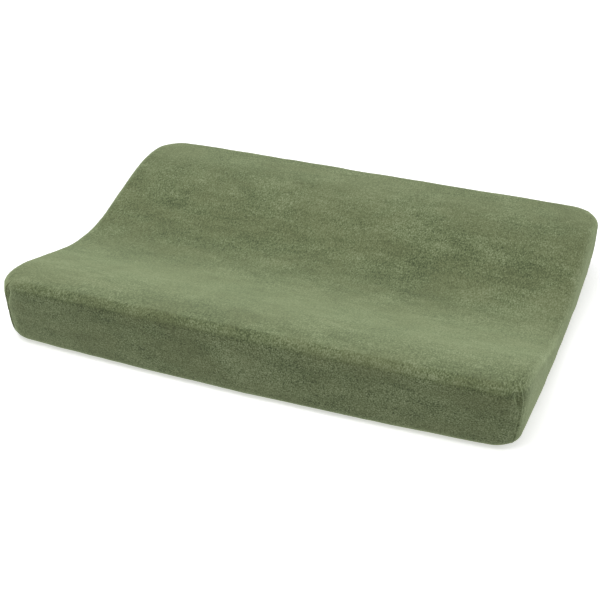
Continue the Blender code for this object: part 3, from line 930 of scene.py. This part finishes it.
# ---- hem, elastic, label and corner seams ----
def outline_path(outer, pitch):
    """Points and outward directions along the opening's outline, moved outwards by a distance."""
    half = np.array((OPENING_X + outer, OPENING_Y + outer))
    corner = OPENING_CORNER + outer
    straight = half - corner
    quarter = corner * math.pi / 2
    total = 4 * (straight[0] + straight[1]) + 4 * quarter
    count = int(total / pitch)
    sides = [((-straight[0], -half[1]), (1.0, 0.0), 2 * straight[0]),
             ((half[0], -straight[1]), (0.0, 1.0), 2 * straight[1]),
             ((straight[0], half[1]), (-1.0, 0.0), 2 * straight[0]),
             ((-half[0], straight[1]), (0.0, -1.0), 2 * straight[1])]
    points, normals = [], []
    for step in range(count):
        at = total * step / count
        for start, forward, run in sides:
            forward = np.array(forward)
            outwards = np.array((forward[1], -forward[0]))
            if at < run:
                points.append(start + forward * at)
                normals.append(outwards)
                break
            at -= run
            if at < quarter:
                turn = at / corner
                centre = start + forward * run - outwards * corner
                direction = outwards * math.cos(turn) + forward * math.sin(turn)
                points.append(centre + direction * corner)
                normals.append(direction)
                break
            at -= quarter
    return np.array(points), np.array(normals), total


CASING_LOOP = (
    (12.6, 0.10), (9.5, 0.10), (6.5, 0.10), (3.5, 0.12), (1.5, 0.22), (0.5, 0.75), (0.15, 1.75), (0.5, 2.8),
    (1.5, 3.35), (3.5, 3.5), (6.5, 3.52), (9.5, 3.52), (12.6, 3.5), (12.6, 2.98), (9.5, 2.95), (6.5, 2.95),
    (3.5, 2.92), (1.9, 2.7), (1.2, 2.3), (1.0, 1.75), (1.2, 1.2), (1.9, 0.85), (3.5, 0.72), (6.5, 0.70),
    (9.5, 0.70), (12.6, 0.66),
)
ELASTIC_LOOP = ((1.7, 2.15), (9.6, 2.15), (9.6, 1.40), (1.7, 1.40))


def sweep_ring(name, loop, pitch, mat, wave=None):
    """A closed band round the opening. wave gives the outward and the upward shift along it."""
    plan_points, normals, total = outline_path(0.0, pitch)
    count = len(plan_points)
    along = np.arange(count) * total / count
    rings = []
    for outwards, up in loop:
        shift, rise = wave(along, outwards, up) if wave else (along * 0, along * 0)
        q = plan_points + normals * (outwards * MM + shift)[:, None]
        rings.append(np.column_stack([q, np.maximum(up * MM + rise, 0.04 * MM)]))
    points = np.concatenate(rings)
    ids = np.arange(len(points)).reshape(len(loop), count)
    return mesh_object(name, points, ring_faces(ids, np.roll(ids, -1, 0)), mat)


def hem_wave(along, outwards, up):
    """Gathers: the cloth bunches where the elastic has drawn it up."""
    phase = along / (5.6 * MM) * 2 * math.pi
    phase += 1.5 * np.sin(along / (37 * MM)) + 0.9 * np.sin(along / (13 * MM))
    shift = 0.70 * MM * np.sin(phase * 0.5) * max(0.0, 1 - outwards / 9.0)
    rise = (0.48 * MM if up < 1.5 else -0.05 * MM) * (1 - np.cos(phase)) / 2
    return shift, rise


def build_hem(velour_mat, elastic_mat, thread_mat):
    casing = sweep_ring("hem_band", CASING_LOOP, 1.4 * MM, velour_mat, hem_wave)
    stands_for(casing, "fitted_cover", "velour", "hem_casing")
    elastic = sweep_ring("hem_elastic_tape", ELASTIC_LOOP, 4 * MM, elastic_mat)
    stands_for(elastic, "fitted_cover", "elastic", "hem_elastic")
    stitches = stitch_line("hem_stitches", 10.9 * MM, 0.02 * MM, thread_mat)
    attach(stitches, "fitted_cover")
    return [casing, elastic, stitches]


STITCH_LENGTH = 2.3 * MM
STITCH_PITCH = 3.1 * MM
STITCH_RADIUS = 0.16 * MM


def stitch_line(name, outer, level, mat):
    """Lockstitches round the hem: each a short rounded bar of thread, sunk a little at both ends."""
    centres, normals, _ = outline_path(outer, STITCH_PITCH)
    sides = 6
    stations = ((-0.5, 0.25), (-0.40, 0.85), (0.0, 1.0), (0.40, 0.85), (0.5, 0.25))
    rings = []
    for share, fat in stations:
        for k in range(sides):
            a = k * 2 * math.pi / sides
            rings.append((share * STITCH_LENGTH, math.cos(a) * STITCH_RADIUS * fat,
                          math.sin(a) * STITCH_RADIUS * fat + STITCH_RADIUS))
    shape = np.array(rings)
    ahead = np.column_stack([-normals[:, 1], normals[:, 0]])
    points = []
    for centre, forward, outwards in zip(centres, ahead, normals):
        q = centre + shape[:, :1] * forward + shape[:, 1:2] * outwards
        points.append(np.column_stack([q, shape[:, 2] + level]))
    size = len(shape)
    around = np.arange(size).reshape(len(stations), sides).T
    faces = np.concatenate([tube_faces(around) + size * n for n in range(len(centres))])
    piece = mesh_object(name, np.concatenate(points), faces, mat)
    close_ends(piece)
    return piece


def build_label(mat):
    low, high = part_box("care_label")
    ys = np.linspace(low.y, high.y, 30)
    rise = 0.10 * MM * np.sin((ys - low.y) / (high.y - low.y) * 2.4 * math.pi)
    path = np.column_stack([np.full_like(ys, (low.x + high.x) / 2), ys, 0.38 * MM + rise])
    label = strip_mesh("label", path, (1.0, 0.0, 0.0), high.x - low.x, 0.22 * MM, mat, 12)
    stands_for(label, "fitted_cover", "label", "care_label")


SEAM_WIDTH = 6.0 * MM
SEAM_THICK = 1.5 * MM


def build_corner_seams(plan, velour_mat, thread_mat):
    """Overlocked seam allowances of the four darts, lying against the inside of the cover."""
    skin = Skin(plan, 0.0, floor=COVER_FLOOR)
    names = ("front_left", "front_right", "rear_right", "rear_left")
    made = []
    for diagonal, word in zip(plan.diagonals, names):
        column = diagonal + round(DART_SHIFT / FINE_STEP)
        rows = range(EDGE_ROWS, EDGE_ROWS + WALL_ROWS + 2)
        line = np.array([skin.rows[r][column] for r in rows])
        outwards = np.append(plan.arc[plan.border[column]], 0.0)
        outwards /= np.linalg.norm(outwards)
        aside = np.cross((0.0, 0.0, 1.0), outwards)
        depth = COVER_THICK + 1.7 * MM + SEAM_THICK / 2
        path = line - outwards * depth
        shares = np.linspace(0, 1, 60)
        spots = np.linspace(0, 1, len(path))
        path = resampled(shares, spots, path)
        path += aside * (0.35 * MM * np.sin(shares * 23))[:, None]
        strip = strip_mesh(f"dart_{word}", path, aside, SEAM_WIDTH, SEAM_THICK, velour_mat, 4)
        turns = 26
        t = np.linspace(0, 1, turns * 10)
        centre = resampled(t, shares, path)
        angle = t * turns * 2 * math.pi
        loop = centre + aside * ((SEAM_WIDTH / 2 - 1.2 * MM) + (1.6 * MM) * np.cos(angle))[:, None]
        loop = loop - outwards * ((SEAM_THICK / 2 + 0.15 * MM) * np.sin(angle))[:, None]
        overlock = tube(f"overlock_{word}", loop, 0.16 * MM, thread_mat)
        stands_for(strip, "fitted_cover", "velour", f"corner_seam_{word}")
        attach(overlock, "fitted_cover")
        made += [strip, overlock]
    return made


pad_plan = Plan(1.4 * MM, 7.0 * MM, 1.18)
build_foam(pad_plan, foam_finish())
build_ticking(pad_plan, coated_knit())
build_tapes(woven("zip_tape", (0.62, 0.62, 0.59), (0.84, 0.84, 0.81), 700.0, math.radians(45)))
build_coils(nylon())

cover_plan = Plan(FINE_STEP, 5.5 * MM, STEP_GROWTH)
cover = build_cover(cover_plan)
green_thread = thread((0.13, 0.16, 0.08))
elastic_finish = woven("elastic", (0.66, 0.66, 0.63), (0.86, 0.86, 0.83), 420.0)
hem_pieces = build_hem(cover.data.materials[0], elastic_finish, green_thread)
build_label(satin())
hem_pieces += build_corner_seams(cover_plan, cover.data.materials[0], green_thread)

metal = nickel()
for node_name in ("zip_slider", "zip_pull_tab", "zip_top_stop_front", "zip_top_stop_rear", "zip_bottom_stop"):
    nodes[node_name].data.materials.clear()
    nodes[node_name].data.materials.append(metal)


# ---- floor, light and camera ----
STUDIO_RADIUS = 9.0
STUDIO_LEVEL = -0.3 * MM
SKY_ABOVE = 0.42
SKY_BELOW = 0.66


def make_studio():
    """A plain floor that runs into a dome of the same finish, so that no horizon shows."""
    rings, sides = 24, 64
    points = [(0.0, 0.0, STUDIO_LEVEL)]
    for ring in range(1, rings + 1):
        # level out to half the radius, then curving up and over
        share = ring / rings
        angle = math.pi / 2 * max(0.0, share * 1.5 - 0.5)
        reach = STUDIO_RADIUS * (share * 1.5 if share < 1 / 3 else 0.5 + 0.5 * math.sin(2 * angle))
        level = STUDIO_LEVEL + STUDIO_RADIUS * 0.5 * (1 - math.cos(2 * angle))
        for side in range(sides):
            turn = 2 * math.pi * side / sides
            points.append((reach * math.cos(turn), reach * math.sin(turn), level))
    faces = [(0, 1 + k, 1 + (k + 1) % sides) for k in range(sides)]
    for ring in range(rings - 1):
        for k in range(sides):
            a, b = 1 + ring * sides + k, 1 + ring * sides + (k + 1) % sides
            faces.append((a, a + sides, b + sides, b))
    last = 1 + (rings - 1) * sides
    faces += [(last + (k + 1) % sides, last + k, len(points)) for k in range(sides)]
    points.append((0.0, 0.0, STUDIO_LEVEL + STUDIO_RADIUS))
    mesh = bpy.data.meshes.new("floor")
    mesh.from_pydata(points, [], faces)
    mesh.shade_smooth()
    f = Finish("floor", Roughness=0.9, Specular_IOR_Level=0.1, Emission_Color=(1.0, 1.0, 1.0, 1.0),
               Emission_Strength=0.50)
    f.colour(f.ramp(f.noise(3.0), [(0.0, 0.91), (1.0, 0.93)]))
    # seen from below, the floor is clear
    shaders = f.tree.nodes
    pick = shaders.new("ShaderNodeMixShader")
    f.link(shaders.new("ShaderNodeNewGeometry").outputs["Backfacing"], pick.inputs[0])
    f.link(f.shader.outputs[0], pick.inputs[1])
    f.link(shaders.new("ShaderNodeBsdfTransparent").outputs[0], pick.inputs[2])
    f.link(pick.outputs[0], shaders["Material Output"].inputs["Surface"])
    mesh.materials.append(f.mat)
    floor = add_object("floor", mesh)
    # the pad is lit as if the studio were glowing softly, so that its underside can be seen too
    floor.visible_diffuse = False
    floor.visible_glossy = False
    floor.visible_shadow = False


def area_light(name, place, aim, size, power):
    data = bpy.data.lights.new(name, "AREA")
    data.shape = "DISK"
    data.size = size
    data.energy = power
    lamp = add_object(name, data)
    lamp.location = place
    lamp.rotation_euler = (Vector(aim) - Vector(place)).to_track_quat("-Z", "Y").to_euler()


def make_light():
    world = bpy.data.worlds.new("studio")
    bpy.context.scene.world = world
    world.use_nodes = True
    # even white light from above, and a little more of it from below, as off a white floor
    tree = world.node_tree
    split = tree.nodes.new("ShaderNodeSeparateXYZ")
    tree.links.new(tree.nodes.new("ShaderNodeTexCoord").outputs["Generated"], split.inputs[0])
    shade = tree.nodes.new("ShaderNodeMapRange")
    limits = {"From Min": -0.25, "From Max": 0.25, "To Min": SKY_BELOW, "To Max": SKY_ABOVE}
    for label, value in limits.items():
        shade.inputs[label].default_value = value
    tree.links.new(split.outputs["Z"], shade.inputs["Value"])
    tree.links.new(shade.outputs["Result"], tree.nodes["Background"].inputs["Strength"])
    tree.nodes["Background"].inputs["Color"].default_value = (1.0, 1.0, 1.0, 1.0)
    area_light("overhead", (-0.1, -0.62, 1.96), (0.0, 0.0, 0.0), 1.4, 23.5)
    for side in (-1, 1):
        area_light("side", (1.7 * side, 0.3, 0.9), (0.3 * side, 0.0, 0.05), 0.9, 3.6)


CAMERA_PITCH = math.radians(30.456)
CAMERA_YAW = math.radians(-21.661)
CAMERA_DISTANCE = 1.663
CAMERA_AIM = (0.0123, -0.076, 0.05)
SENSOR_WIDTH = 36.0         # in millimetres, as the lens is
LENS = 75.2


def make_camera():
    pitch, yaw = CAMERA_PITCH, CAMERA_YAW
    forward = Vector((math.sin(yaw) * math.cos(pitch), math.cos(yaw) * math.cos(pitch), -math.sin(pitch)))
    data = bpy.data.cameras.new("camera")
    data.sensor_width = SENSOR_WIDTH
    data.lens = LENS
    camera = add_object("camera", data)
    camera.location = Vector(CAMERA_AIM) - forward * CAMERA_DISTANCE
    camera.rotation_euler = forward.to_track_quat("-Z", "Y").to_euler()
    bpy.context.scene.camera = camera


make_studio()
make_light()
make_camera()
bpy.context.scene.view_settings.view_transform = "Standard"
